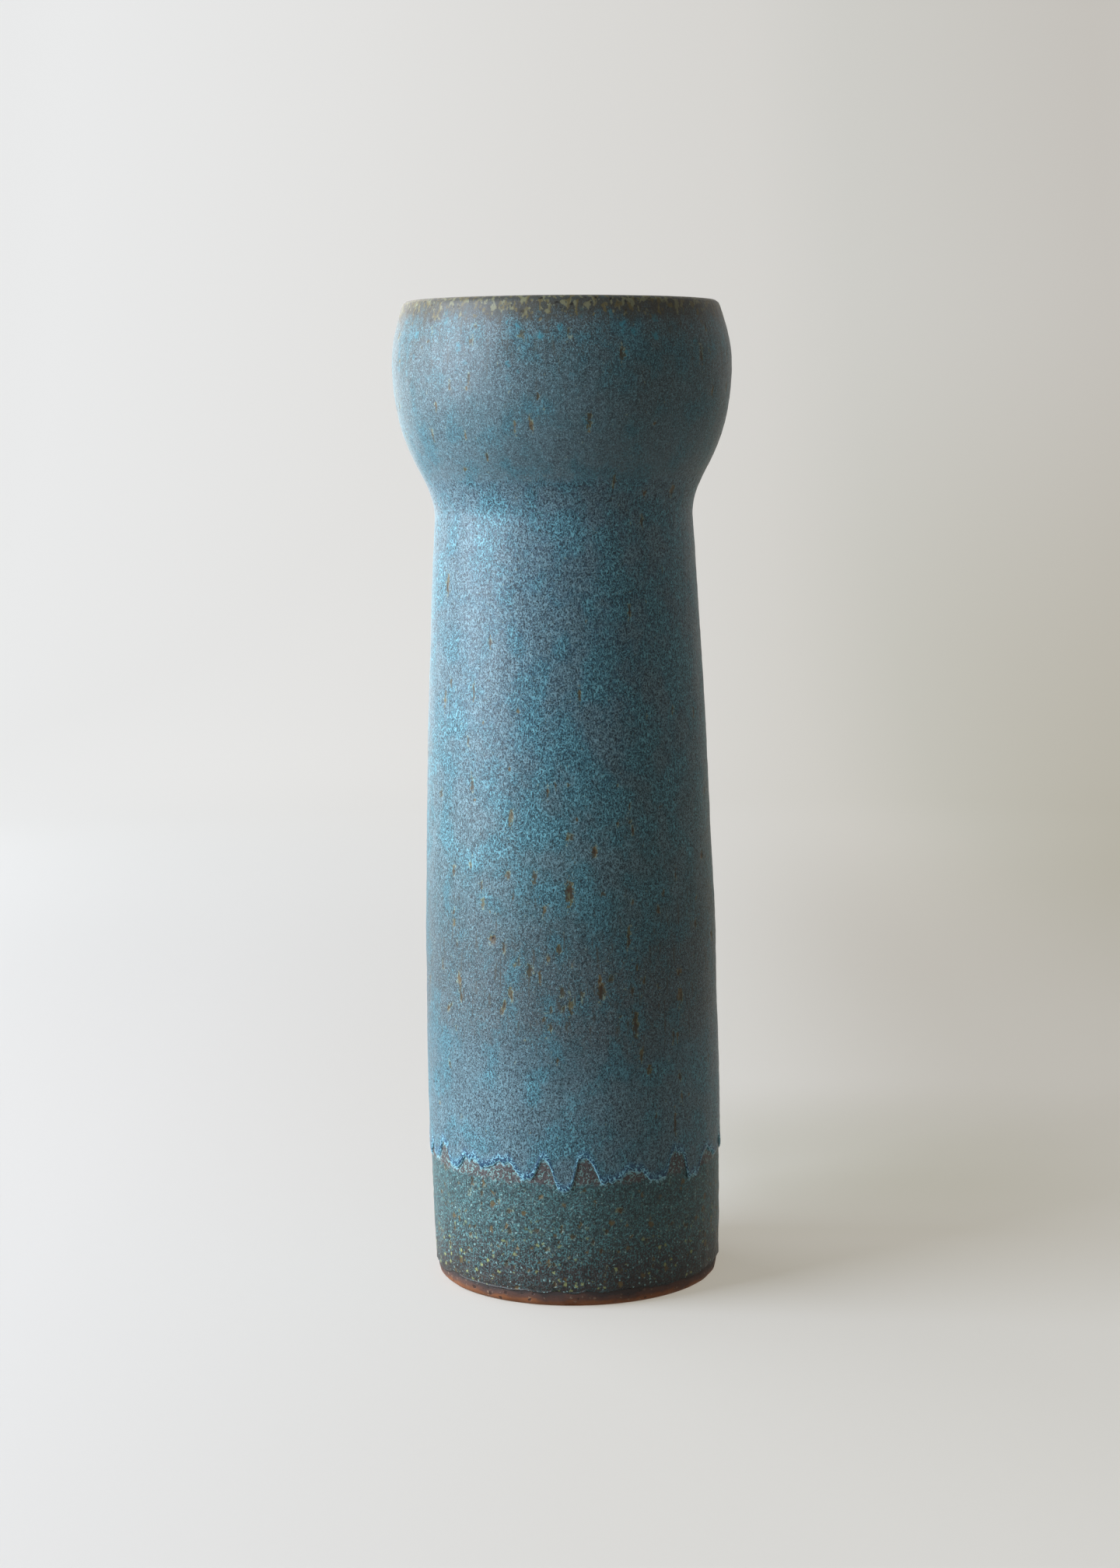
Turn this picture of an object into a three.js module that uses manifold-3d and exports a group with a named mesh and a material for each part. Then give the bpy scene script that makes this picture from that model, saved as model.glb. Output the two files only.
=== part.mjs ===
// Stoneware vase, in millimetres, +Z up, with its origin on the ground under the middle of the foot.
//
// The body is two wheel-thrown sections of clay, a tall column and a bowl-shaped head, luted
// together at the crease of the neck. Three coats of glaze are fused to it: a base coat over the
// outside and the lip, a top coat that has run down and stopped in a scalloped edge above the
// foot, and a liner coat inside. Every coat takes its faces from the same outline as the clay.

import * as THREE from 'three';
import { mergeVertices } from 'three/addons/utils/BufferGeometryUtils.js';
import Module from 'manifold-3d';

// Outside of the clay
const clayHeight = 339;
const footRadius = 47.2;
const wallFootRadius = 49.4;
const bellyRadius = 50.3;
const bellyHeight = 57;
const creaseRadius = 42.8;
const creaseRounding = 6.8;
const headRadius = 57.2;
const rimInset = 5;

// Heights that are set from the rim down
const headLength = 65;
const rimToWidest = 22;

// How quickly each stretch of wall curves away from its widest ring
const footCurve = 2.4;
const columnCurve = 1.8;
const underHeadCurve = 2.17;
const overHeadCurve = 2.1;

// Walls, floor and foot
const wallThickness = 6;
const lipThickness = 4;
const floorThickness = 7;
const floorFillet = 9;
const footBand = 6;
const footRingWidth = 9;
const footRecess = 2.5;
const recessSlope = 0.8;

// Coats of glaze, and the hair of clearance between a coat and what it covers
const coatClearance = 0.02;
const baseCoat = 0.5;
const topCoat = 0.6;
const linerCoat = 0.5;
const dripSwelling = 0.35;
const thinTopCoat = 0.2;
const baseCoatInside = 4;

// The scalloped edge of the top coat. Each drip has its angle from the front, how far it hangs
// below the line, and how far the arch after it rises above the line.
const dripLine = 47;
const dripBandBelow = 11;
const dripBandAbove = 13;
const archRoundness = 0.75;
const drips = [
  { angle: -70, hang: 2.3, arch: 5.5 },
  { angle: -55, hang: 3.2, arch: 1.7 },
  { angle: -38, hang: 0.4, arch: 3.3 },
  { angle: -19, hang: 3.2, arch: 5.5 },
  { angle: -5, hang: 7, arch: 6 },
  { angle: 11, hang: 3.7, arch: -0.8 },
  { angle: 34, hang: 5.3, arch: 5.5 },
  { angle: 52, hang: 7.3, arch: 1 },
  { angle: 73, hang: 2.5, arch: 3 },
  { angle: 88, hang: 4.5, arch: 0.5 },
  { angle: 105, hang: 2, arch: 4.5 },
  { angle: 124, hang: 6, arch: 2 },
  { angle: 141, hang: 3, arch: 5 },
  { angle: 156, hang: 5.5, arch: 0 },
  { angle: 178, hang: 2.5, arch: 4 },
  { angle: 192, hang: 6.8, arch: 5 },
  { angle: 209, hang: 3, arch: 1.5 },
  { angle: 228, hang: 4.5, arch: 4 },
  { angle: 243, hang: 2, arch: 2.5 },
  { angle: 262, hang: 6, arch: 4.5 },
  { angle: 277, hang: 3, arch: 1 },
];

// The vase leans a little to the left of its foot, most of all at the head.
const headLean = 1.6;

// Fineness of the meshes, with closer rings on both sides of the crease
const turnSteps = 32;
const curtainSteps = 144;
const lipSteps = 6;
const filletSteps = 4;
const footSteps = 3;
const creaseReach = 24;

const creaseHeight = clayHeight - headLength;
const widestHeight = clayHeight - rimToWidest;
const rimRadius = headRadius - rimInset;
const floorHeight = footRecess + floorThickness;
const lipRadius = lipThickness / 2;
const quarterTurn = Math.PI / 2;

const wasm = await Module();
wasm.setup();

// Radius on a stretch of wall that swells to its widest ring and falls away to its end ring.
function swell(height, widest, end, curve) {
  const away = Math.abs(height - widest.height) / Math.abs(end.height - widest.height);
  return widest.radius - (widest.radius - end.radius) * away ** curve;
}

// The larger of two radii, with the corner between them rounded.
function roundedMax(first, second, rounding) {
  const nearness = Math.max(0, rounding - Math.abs(first - second)) / rounding;
  return Math.max(first, second) + (nearness * nearness * rounding) / 4;
}

function columnRadius(height) {
  const belly = { radius: bellyRadius, height: bellyHeight };
  if (height < bellyHeight) {
    return swell(height, belly, { radius: wallFootRadius, height: 0 }, footCurve);
  }
  return swell(height, belly, { radius: creaseRadius, height: creaseHeight }, columnCurve);
}

function headWallRadius(height) {
  const widest = { radius: headRadius, height: widestHeight };
  if (height < widestHeight) {
    return swell(height, widest, { radius: creaseRadius, height: creaseHeight }, underHeadCurve);
  }
  return swell(height, widest, { radius: rimRadius, height: clayHeight }, overHeadCurve);
}

function outsideRadius(height) {
  return roundedMax(columnRadius(height), headWallRadius(height), creaseRounding);
}

// Heights from one level to another in even steps, without the first level itself.
function levels(from, to, steps) {
  return Array.from({ length: steps }, (_, step) => from + ((to - from) * (step + 1)) / steps);
}

function wallPoint(radiusAt, height) {
  return new THREE.Vector2(radiusAt(height), height);
}

// The lip is half a circle, tilted as the wall below it leans.
function lipShape() {
  const slope = outsideRadius(clayHeight - lipRadius) - outsideRadius(clayHeight);
  const tilt = Math.atan2(slope, lipRadius);
  const centreHeight = clayHeight - lipRadius;
  const outerHeight = centreHeight + lipRadius * Math.sin(tilt);
  const innerHeight = centreHeight - lipRadius * Math.sin(tilt);
  const centreRadius = outsideRadius(outerHeight) - lipRadius * Math.cos(tilt);
  const innerRadius = centreRadius - lipRadius * Math.cos(tilt);
  return { tilt, centreHeight, outerHeight, innerHeight, centreRadius, innerRadius };
}

const lip = lipShape();

// The wall thins evenly through the head, from its full thickness to that of the lip.
function insideRadius(height) {
  const lipWall = outsideRadius(lip.innerHeight) - lip.innerRadius;
  const climb = Math.max(0, (height - creaseHeight) / (lip.innerHeight - creaseHeight));
  return outsideRadius(height) - THREE.MathUtils.lerp(wallThickness, lipWall, climb);
}

function outsideWall() {
  const dripBottom = dripLine - dripBandBelow;
  const dripTop = dripLine + dripBandAbove;
  const heights = [
    footBand,
    ...levels(footBand, dripBottom, 2),
    ...levels(dripBottom, dripTop, 4),
    ...levels(dripTop, creaseHeight - creaseReach, 6),
    ...levels(creaseHeight - creaseReach, creaseHeight, 4),
    ...levels(creaseHeight, creaseHeight + creaseReach, 5),
    ...levels(creaseHeight + creaseReach, lip.outerHeight, 6),
  ];
  return heights.map((height) => wallPoint(outsideRadius, height));
}

function lipArc() {
  return levels(0, Math.PI, lipSteps).slice(0, -1).map((turn) => {
    const radius = lip.centreRadius + lipRadius * Math.cos(lip.tilt + turn);
    const height = lip.centreHeight + lipRadius * Math.sin(lip.tilt + turn);
    return new THREE.Vector2(radius, height);
  });
}

function insideWall() {
  const filletTop = floorHeight + floorFillet;
  const coatEnd = lip.innerHeight - baseCoatInside;
  const heights = [
    lip.innerHeight,
    coatEnd,
    ...levels(coatEnd, creaseHeight + creaseReach, 3),
    ...levels(creaseHeight + creaseReach, creaseHeight, 4),
    ...levels(creaseHeight, creaseHeight - creaseReach, 3),
    ...levels(creaseHeight - creaseReach, filletTop, 5),
  ];
  const wall = heights.map((height) => wallPoint(insideRadius, height));
  const filletRadius = insideRadius(filletTop) - floorFillet;
  const fillet = levels(0, quarterTurn, filletSteps).map((turn) => {
    const radius = filletRadius + floorFillet * Math.cos(turn);
    return new THREE.Vector2(radius, filletTop - floorFillet * Math.sin(turn));
  });
  return [...wall, ...fillet, new THREE.Vector2(0, floorHeight)];
}

// The bare foot: up from the ground ring in a trimmed curve to where the glaze begins.
function footCorner() {
  const bandRadius = outsideRadius(footBand);
  return levels(0, quarterTurn, footSteps).slice(0, -1).map((turn) => {
    const radius = footRadius + (bandRadius - footRadius) * Math.sin(turn);
    return new THREE.Vector2(radius, footBand * (1 - Math.cos(turn)));
  });
}

function underside() {
  const ringInside = footRadius - footRingWidth;
  return [
    new THREE.Vector2(0, footRecess),
    new THREE.Vector2(ringInside - recessSlope, footRecess),
    new THREE.Vector2(ringInside, 0),
    new THREE.Vector2(footRadius, 0),
  ];
}

// The glazed line of the clay runs up the outside, over the lip and down to the middle of the
// floor. Every point of it carries the direction that points out of the clay there.
const outside = outsideWall();
const glazedLine = [...outside, ...lipArc(), ...insideWall()];

function outwardDirections(line) {
  return line.map((point, place) => {
    if (point.x === 0) {
      return new THREE.Vector2(0, 1);
    }
    const before = line[Math.max(place - 1, 0)];
    const after = line[place + 1];
    const along = after.clone().sub(before).normalize();
    return new THREE.Vector2(along.y, -along.x);
  });
}

const outward = outwardDirections(glazedLine);
const isCrease = (point) => Math.abs(point.y - creaseHeight) < 1e-6;
const outerCrease = glazedLine.findIndex(isCrease);
const innerCrease = glazedLine.findLastIndex(isCrease);
const lipCrown = outside.length + Math.round(lipSteps / 2) - 1;
const baseCoatEnd = outside.length + lipSteps;

// The glazed line between two of its places, lifted off the clay by the thickness given there.
function liftedLine(from, to, thicknessAt) {
  return glazedLine.slice(from, to + 1).map((point, step) => {
    const place = from + step;
    return point.clone().addScaledVector(outward[place], thicknessAt(point, place));
  });
}

// Outline of a coat: out along its outer face and back along its inner face.
function coatOutline(from, to, innerAt, outerAt) {
  const innerFace = liftedLine(from, to, innerAt);
  const outerFace = liftedLine(from, to, outerAt);
  return [...outerFace, ...innerFace.reverse()];
}

function leanAt(height) {
  return headLean * Math.sin(quarterTurn * Math.min(1, height / creaseHeight));
}

// Turns an outline round the vase's axis, stands it up and gives it the vase's lean.
function turned(outline, steps = turnSteps) {
  const geometry = new THREE.LatheGeometry(outline, steps);
  geometry.rotateX(quarterTurn);
  const position = geometry.getAttribute('position');
  for (let index = 0; index < position.count; index += 1) {
    position.setX(index, position.getX(index) - leanAt(position.getZ(index)));
  }
  return geometry;
}

function closedOn(outline) {
  return [...outline, outline[0].clone()];
}

// Height of the top coat's lower edge at an angle from the front, in degrees.
function dripEdge(angle) {
  const turn = THREE.MathUtils.euclideanModulo(angle - drips[0].angle, 360) + drips[0].angle;
  const place = drips.findLastIndex((drip) => drip.angle <= turn);
  const here = drips[place];
  const next = drips[(place + 1) % drips.length];
  const nextAngle = place + 1 < drips.length ? next.angle : next.angle + 360;
  const along = (turn - here.angle) / (nextAngle - here.angle);
  const hang = THREE.MathUtils.lerp(here.hang, next.hang, along);
  const rise = here.arch + (here.hang + next.hang) / 2;
  const arch = ((1 - Math.cos(2 * Math.PI * along)) / 2) ** archRoundness;
  return dripLine - hang + rise * arch;
}

// A round block whose underside follows the drip edge: what lies inside it keeps its glaze.
function dripCurtain() {
  const clear = 5;
  const low = 0;
  const high = clayHeight + clear;
  const outline = [
    new THREE.Vector2(0, dripLine),
    new THREE.Vector2(creaseRadius, low),
    new THREE.Vector2(headRadius + clear, low),
    new THREE.Vector2(headRadius + clear, high),
    new THREE.Vector2(0, high),
  ];
  const geometry = new THREE.LatheGeometry(outline, curtainSteps);
  geometry.rotateX(quarterTurn);
  const position = geometry.getAttribute('position');
  for (let index = 0; index < position.count; index += 1) {
    if (position.getZ(index) < dripLine / 2) {
      const angle = Math.atan2(position.getX(index), -position.getY(index));
      position.setZ(index, dripEdge(THREE.MathUtils.radToDeg(angle)));
    }
  }
  return geometry;
}

function asSolid(geometry) {
  const bare = geometry.clone();
  bare.deleteAttribute('normal');
  bare.deleteAttribute('uv');
  const closed = mergeVertices(bare);
  const corners = closed.index.array;
  const points = closed.getAttribute('position').array;
  const triangles = [];
  for (let start = 0; start < corners.length; start += 3) {
    const [a, b, c] = corners.slice(start, start + 3);
    if (a !== b && b !== c && c !== a) {
      triangles.push(a, b, c);
    }
  }
  const mesh = new wasm.Mesh({
    numProp: 3,
    vertProperties: Float32Array.from(points),
    triVerts: Uint32Array.from(triangles),
  });
  return new wasm.Manifold(mesh);
}

function asGeometry(solid) {
  const mesh = solid.getMesh();
  const geometry = new THREE.BufferGeometry();
  geometry.setAttribute('position', new THREE.BufferAttribute(mesh.vertProperties, 3));
  geometry.setIndex(new THREE.BufferAttribute(mesh.triVerts, 1));
  geometry.computeVertexNormals();
  return geometry;
}

function clayColumn() {
  const bore = glazedLine.slice(innerCrease);
  const face = glazedLine.slice(0, outerCrease + 1);
  return turned([...underside(), ...footCorner(), ...face, ...bore]);
}

function clayHead() {
  return turned(closedOn(glazedLine.slice(outerCrease, innerCrease + 1)));
}

function baseGlaze() {
  return turned(closedOn(coatOutline(0, baseCoatEnd, () => coatClearance, () => baseCoat)));
}

// The top coat gathers into a swelling along its lower edge and thins where it breaks at the lip.
function topCoatAt(point, place) {
  const fromDrips = (point.y - dripLine) / dripBandAbove;
  const gathered = dripSwelling * Math.max(0, 1 - fromDrips * fromDrips);
  const thinning = THREE.MathUtils.smoothstep(place, outside.length - 3, lipCrown);
  return baseCoat + THREE.MathUtils.lerp(topCoat + gathered, thinTopCoat, thinning);
}

function topGlaze() {
  const firstLevel = outside.findIndex((point) => point.y >= dripLine - dripBandBelow);
  const outline = coatOutline(firstLevel, lipCrown, () => baseCoat + coatClearance, topCoatAt);
  const coat = asSolid(turned(closedOn(outline)));
  return asGeometry(coat.intersect(asSolid(dripCurtain())));
}

function linerGlaze() {
  const last = glazedLine.length - 1;
  const againstClay = liftedLine(baseCoatEnd, last, () => coatClearance);
  const openFace = liftedLine(baseCoatEnd, last, () => linerCoat);
  return turned([...againstClay.reverse(), ...openFace]);
}

function piece(name, geometry, color, roughness) {
  const material = new THREE.MeshStandardMaterial({ color, roughness, metalness: 0 });
  const mesh = new THREE.Mesh(geometry, material);
  mesh.name = name;
  return mesh;
}

const vase = new THREE.Group();
vase.add(piece('clay_column', clayColumn(), 0x7a4a30, 0.85));
vase.add(piece('clay_head', clayHead(), 0x7a4a30, 0.85));
vase.add(piece('base_glaze', baseGlaze(), 0x3f4f4c, 0.45));
vase.add(piece('top_glaze', topGlaze(), 0x3a6480, 0.4));
vase.add(piece('liner_glaze', linerGlaze(), 0x2f3d45, 0.35));

export default vase;
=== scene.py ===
import math
import random

import bmesh
import bpy
import numpy as np
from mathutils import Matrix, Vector


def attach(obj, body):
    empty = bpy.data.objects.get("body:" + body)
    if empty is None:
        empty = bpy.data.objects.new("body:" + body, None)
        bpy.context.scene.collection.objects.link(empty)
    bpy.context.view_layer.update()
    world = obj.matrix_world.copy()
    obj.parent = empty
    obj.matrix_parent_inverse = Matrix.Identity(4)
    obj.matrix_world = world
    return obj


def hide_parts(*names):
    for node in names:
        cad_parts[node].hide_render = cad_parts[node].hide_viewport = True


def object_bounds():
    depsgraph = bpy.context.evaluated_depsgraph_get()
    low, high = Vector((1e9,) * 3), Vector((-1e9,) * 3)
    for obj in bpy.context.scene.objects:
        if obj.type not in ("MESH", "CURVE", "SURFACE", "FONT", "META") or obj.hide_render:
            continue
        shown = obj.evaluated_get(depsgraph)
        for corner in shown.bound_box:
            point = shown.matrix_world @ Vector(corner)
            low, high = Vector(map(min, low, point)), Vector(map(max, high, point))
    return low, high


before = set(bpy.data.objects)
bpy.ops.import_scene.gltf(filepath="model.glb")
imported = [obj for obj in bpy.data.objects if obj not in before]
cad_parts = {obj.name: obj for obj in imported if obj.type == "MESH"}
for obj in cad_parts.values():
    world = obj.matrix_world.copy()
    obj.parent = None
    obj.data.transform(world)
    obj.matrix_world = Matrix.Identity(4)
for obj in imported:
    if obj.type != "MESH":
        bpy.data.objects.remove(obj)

# A tall stoneware vase: two thrown sections of clay under a green base glaze, a blue top glaze
# that has run down to a scalloped edge, and a liner. Lengths in the dictionaries are millimetres,
# angles are degrees round the vase from the front (-Y), positive towards +X.

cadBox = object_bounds()
mm = 0.001
fullTurn = 2 * math.pi
clearance = 0.02              # between a coat of glaze and what it covers
columns = 352                 # points round every ring
angles = np.arange(columns) / columns * fullTurn


# the same turn, brought to within half a turn either way
def wrapped(turn):
    return (turn + math.pi) % fullTurn - math.pi


# points of a CAD node, in millimetres
def nodePoints(nodeName):
    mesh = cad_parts[nodeName].data
    flat = np.zeros(len(mesh.vertices) * 3, np.float32)
    mesh.vertices.foreach_get("co", flat)
    return flat.reshape(-1, 3).astype(float) / mm


# middle of the vase at every height where the clay has a ring: it leans a little
def readAxis():
    rings = {}
    for nodeName in ("clay_column", "clay_head"):
        for x, y, z in nodePoints(nodeName):
            if abs(y) < 0.01:
                rings.setdefault(round(z, 2), []).append(x)
    found = [(z, (max(xs) + min(xs)) / 2) for z, xs in rings.items() if max(xs) - min(xs) > 50]
    return np.array(sorted(found))


axisLine = readAxis()


def middleAt(height):
    return np.interp(height, axisLine[:, 0], axisLine[:, 1])


# where a node crosses the plane through the axis, on the +X side, as points (radius, height)
def cadOutline(nodeName):
    points = nodePoints(nodeName)
    onPlane = (abs(points[:, 1]) < 0.01) & (points[:, 0] > -2)
    links = {}
    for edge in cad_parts[nodeName].data.edges:
        first, second = edge.vertices
        if onPlane[first] and onPlane[second]:
            a, b = (tuple(np.round(points[i][[0, 2]], 3)) for i in (first, second))
            if a != b:
                links.setdefault(a, set()).add(b)
                links.setdefault(b, set()).add(a)
    ends = [p for p in links if len(links[p]) == 1]
    line = [min(ends or links, key=lambda p: (p[1], p[0]))]
    while True:
        onward = [p for p in sorted(links[line[-1]]) if p not in line]
        if not onward:
            break
        line.append(onward[-1])
    line = np.array(line)
    line[:, 0] = np.maximum(line[:, 0] - middleAt(line[:, 1]), 0)
    return line, not ends


# smooth stretches of an outline, parted where it turns a sharp corner
def stretchesOf(nodeName, sharp=40):
    line, closed = cadOutline(nodeName)
    if closed:
        line = np.vstack([line, line[:1]])
    heading = np.arctan2(*np.diff(line, axis=0).T[::-1])
    turn = np.abs(wrapped(np.diff(heading)))
    cuts = [i + 1 for i in range(len(turn)) if turn[i] > math.radians(sharp)]
    parts = [line[a:b + 1] for a, b in zip([0] + cuts, cuts + [len(line) - 1])]
    if closed:
        if abs(wrapped(heading[0] - heading[-1])) <= math.radians(sharp):
            parts = [np.vstack([parts[-1], parts[0][1:]])] + parts[1:-1]
    return parts


# a curve through the points of a stretch, with each slope set mostly by the nearer neighbour
def smoothCurve(points, parts=10):
    gaps = np.linalg.norm(np.diff(points, axis=0), axis=1)[:, None]
    runs = np.diff(points, axis=0) / gaps
    slopes = np.vstack([runs[:1], (runs[:-1] * gaps[1:] + runs[1:] * gaps[:-1])
                        / (gaps[1:] + gaps[:-1]), runs[-1:]])
    t = np.linspace(0, 1, parts, endpoint=False)[None, :, None]
    start, end = points[:-1, None], points[1:, None]
    out, into = (slopes[:-1] * gaps)[:, None], (slopes[1:] * gaps)[:, None]
    curve = ((2 * t**3 - 3 * t**2 + 1) * start + (t**3 - 2 * t**2 + t) * out
             + (3 * t**2 - 2 * t**3) * end + (t**3 - t**2) * into)
    return np.vstack([curve.reshape(-1, 2), points[-1:]])


# points along a curve, as far apart as spacingAt says for the height
def spaced(curve, spacingAt):
    along = np.concatenate([[0], np.cumsum(np.linalg.norm(np.diff(curve, axis=0), axis=1))])
    stops = [0]
    while stops[-1] < along[-1]:
        stops.append(stops[-1] + spacingAt(np.interp(stops[-1], along, curve[:, 1])))
    stops = np.array(stops) * along[-1] / stops[-1]
    return np.column_stack([np.interp(stops, along, curve[:, side]) for side in (0, 1)])


def lengthOf(points):
    return np.linalg.norm(np.diff(points, axis=0), axis=1).sum()


# the two faces of a coat of glaze, both from its low end on, the one that shows first
def coatFaces(nodeName, inside=False):
    faces = sorted(stretchesOf(nodeName), key=lengthOf)[-2:]
    faces = [f if f[0][1] < f[-1][1] or abs(f[0][1] - f[-1][1]) < 1 else f[::-1] for f in faces]
    faces.sort(key=lambda f: smoothCurve(f)[:, 0].mean(), reverse=not inside)
    return [smoothCurve(f) for f in faces]


# the sum of a number of waves of about one size that run every way round the wall
def waves(height, size, seed, count=40, radius=50):
    dice = random.Random(seed)
    summed = np.zeros(np.broadcast(angles, height).shape)
    for _ in range(count):
        lean = dice.uniform(0, fullTurn)
        tightness = fullTurn / size * dice.uniform(0.6, 1.4)
        around = round(radius * tightness * math.cos(lean))
        upward = tightness * math.sin(lean)
        summed = summed + np.cos(around * angles + upward * height + dice.uniform(0, fullTurn))
    return summed / math.sqrt(count / 2)


# how strongly each point lies in one of the marks (angle, height, width, length): 1 in the middle
def markField(height, marks, radius=51, sharpness=1.4):
    strength = np.zeros(height.shape)
    rows = height.mean(axis=1)
    for markAngle, markHeight, width, length in marks:
        near = np.abs(rows - markHeight) < 2 * length + 2
        across = wrapped(angles - math.radians(markAngle)) * radius / width
        upward = (height[near] - markHeight) / length
        strength[near] = np.maximum(strength[near], np.exp(-sharpness * (across**2 + upward**2)))
    return strength


# a closed body from rings of points: radius and height are (rows, columns). Ends "loop" joins the
# last row to the first, and ends "axis" closes both with a point on the axis.
def bodyFrom(name, radius, height, ends):
    rows, count = radius.shape
    spots = np.stack([middleAt(height) + radius * np.sin(angles), -radius * np.cos(angles), height], -1)
    spots = spots.reshape(-1, 3)
    faces = []
    column = np.arange(count)
    nextColumn = (column + 1) % count
    pairs = list(zip(range(rows - 1), range(1, rows)))
    if ends == "loop":
        pairs.append((rows - 1, 0))
    for low, high in pairs:
        faces += np.stack([low * count + column, low * count + nextColumn,
                           high * count + nextColumn, high * count + column], -1).tolist()
    if ends == "axis":
        for row in (0, rows - 1):
            tip = len(spots)
            level = height[row].mean()
            spots = np.vstack([spots, [[middleAt(level), 0, level]]])
            faces += np.stack([row * count + column, row * count + nextColumn,
                               np.full(count, tip)], -1).tolist()
    mesh = bpy.data.meshes.new(name)
    mesh.from_pydata((spots * mm).tolist(), [], faces)
    work = bmesh.new()
    work.from_mesh(mesh)
    bmesh.ops.recalc_face_normals(work, faces=work.faces)
    work.to_mesh(mesh)
    work.free()
    mesh.polygons.foreach_set("use_smooth", [True] * len(mesh.polygons))
    piece = bpy.data.objects.new(name, mesh)
    bpy.context.scene.collection.objects.link(piece)
    return piece


# stores a value for every point of the rings, for the material to read
def paintField(piece, name, values):
    flat = np.zeros(len(piece.data.vertices), np.float32)
    values = np.asarray(values, np.float32).ravel()
    flat[:len(values)] = values
    piece.data.attributes.new(name, "FLOAT", "POINT").data.foreach_set("value", flat)


# the lip dips a little towards +X
def rimDip(height):
    return height - (0.42 + 0.4 * np.sin(angles)) * np.clip((height - 318) / 20, 0, 1)


# moves rows of points out along their own outline's normal
def lifted(radius, height, amount):
    alongRadius = np.gradient(radius, axis=0)
    alongHeight = np.gradient(height, axis=0)
    size = np.maximum(np.hypot(alongRadius, alongHeight), 1e-9)
    return radius + amount * alongHeight / size, height - amount * alongRadius / size


# the outline repeated round the vase: radius and height of every point
def ringsOf(line):
    return np.repeat(line[:, :1], columns, axis=1), np.repeat(line[:, 1:], columns, axis=1)


def place(piece, slot, material, *nodeNames):
    piece.data.materials.append(material)
    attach(piece, "root")
    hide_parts(*nodeNames)
    print("made", piece.name, len(piece.data.polygons), "faces")
    return piece


tree = None                   # the nodes of the material that is being made


def newMaterial(name):
    global tree
    material = bpy.data.materials.new(name)
    material.use_nodes = True
    tree = material.node_tree
    return material


def addNode(kind, **settings):
    node = tree.nodes.new(kind)
    for key, value in settings.items():
        setattr(node, key, value)
    return node


def feed(socket, value):
    if isinstance(value, bpy.types.NodeSocket):
        tree.links.new(value, socket)
    elif value is not None:
        socket.default_value = value


def calc(operation, a, b=None, c=None):
    node = addNode("ShaderNodeMath", operation=operation)
    for socket, value in zip(node.inputs, (a, b, c)):
        feed(socket, value)
    return node.outputs[0]


# 0 at low, 1 at high, eased in between
def between(value, low, high, start=0.0, end=1.0):
    node = addNode("ShaderNodeMapRange", interpolation_type="SMOOTHSTEP")
    for name, setting in (("Value", value), ("From Min", low), ("From Max", high),
                          ("To Min", start), ("To Max", end)):
        feed(node.inputs[name], setting)
    return node.outputs[0]


def blendColour(factor, a, b, mode="MIX"):
    node = addNode("ShaderNodeMix", data_type="RGBA", blend_type=mode)
    feed(node.inputs["Factor"], factor)
    for name, value in (("A", a), ("B", b)):
        socket = [s for s in node.inputs if s.name == name and s.type == "RGBA"][0]
        feed(socket, value if isinstance(value, bpy.types.NodeSocket) else (*value, 1))
    return [s for s in node.outputs if s.type == "RGBA"][0]


# a tone with a colour laid over it, where and as strongly as stated
def laid(tone, colour, where, strength):
    return blendColour(share(where, strength), tone, colour)


def noise(vector, size, detail=2.0, roughness=0.5, output="Fac"):
    node = addNode("ShaderNodeTexNoise")
    feed(node.inputs["Vector"], vector)
    feed(node.inputs["Scale"], 1 / size)
    feed(node.inputs["Detail"], detail)
    feed(node.inputs["Roughness"], roughness)
    return node.outputs[output]


def cells(vector, size, output="Distance"):
    node = addNode("ShaderNodeTexVoronoi")
    feed(node.inputs["Vector"], vector)
    feed(node.inputs["Scale"], 1 / size)
    return node.outputs[output]


# where on the piece, in millimetres; squeeze below 1 draws every pattern out along the height
def coordinates(squeeze=1.0, shift=0.0):
    source = addNode("ShaderNodeTexCoord")
    mapping = addNode("ShaderNodeMapping")
    tree.links.new(source.outputs["Object"], mapping.inputs["Vector"])
    mapping.inputs["Scale"].default_value = (1 / mm, 1 / mm, squeeze / mm)
    mapping.inputs["Location"].default_value = (shift, shift, shift)
    return mapping.outputs[0]


def heightOf():
    split = addNode("ShaderNodeSeparateXYZ")
    tree.links.new(coordinates(), split.inputs[0])
    return split.outputs["Z"]


def field(name):
    return addNode("ShaderNodeAttribute", attribute_name=name).outputs["Fac"]


# pushes a coordinate about by a noise, so that lines drawn with it wander
def warped(vector, size, reach):
    wander = noise(vector, size, detail=1.0, output="Color")
    centre = addNode("ShaderNodeVectorMath", operation="SUBTRACT")
    tree.links.new(wander, centre.inputs[0])
    centre.inputs[1].default_value = (0.5, 0.5, 0.5)
    scaled = addNode("ShaderNodeVectorMath", operation="SCALE")
    tree.links.new(centre.outputs[0], scaled.inputs[0])
    scaled.inputs["Scale"].default_value = reach
    moved = addNode("ShaderNodeVectorMath", operation="ADD")
    tree.links.new(vector, moved.inputs[0])
    tree.links.new(scaled.outputs[0], moved.inputs[1])
    return moved.outputs[0]


# thin wandering lines, 1 on the line: the level line of a noise, broken up by another
def squiggles(size, width, squeeze, shift, broken=0.42):
    vector = warped(coordinates(squeeze, shift), size * 1.3, size * 0.9)
    level = calc("ABSOLUTE", calc("SUBTRACT", noise(vector, size, 0.0), 0.5))
    line = between(level, width, width * 0.3)
    gaps = noise(coordinates(squeeze, shift + 31), size * 1.1, 1.0)
    return calc("MULTIPLY", line, between(gaps, broken - 0.07, broken + 0.07))


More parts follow.
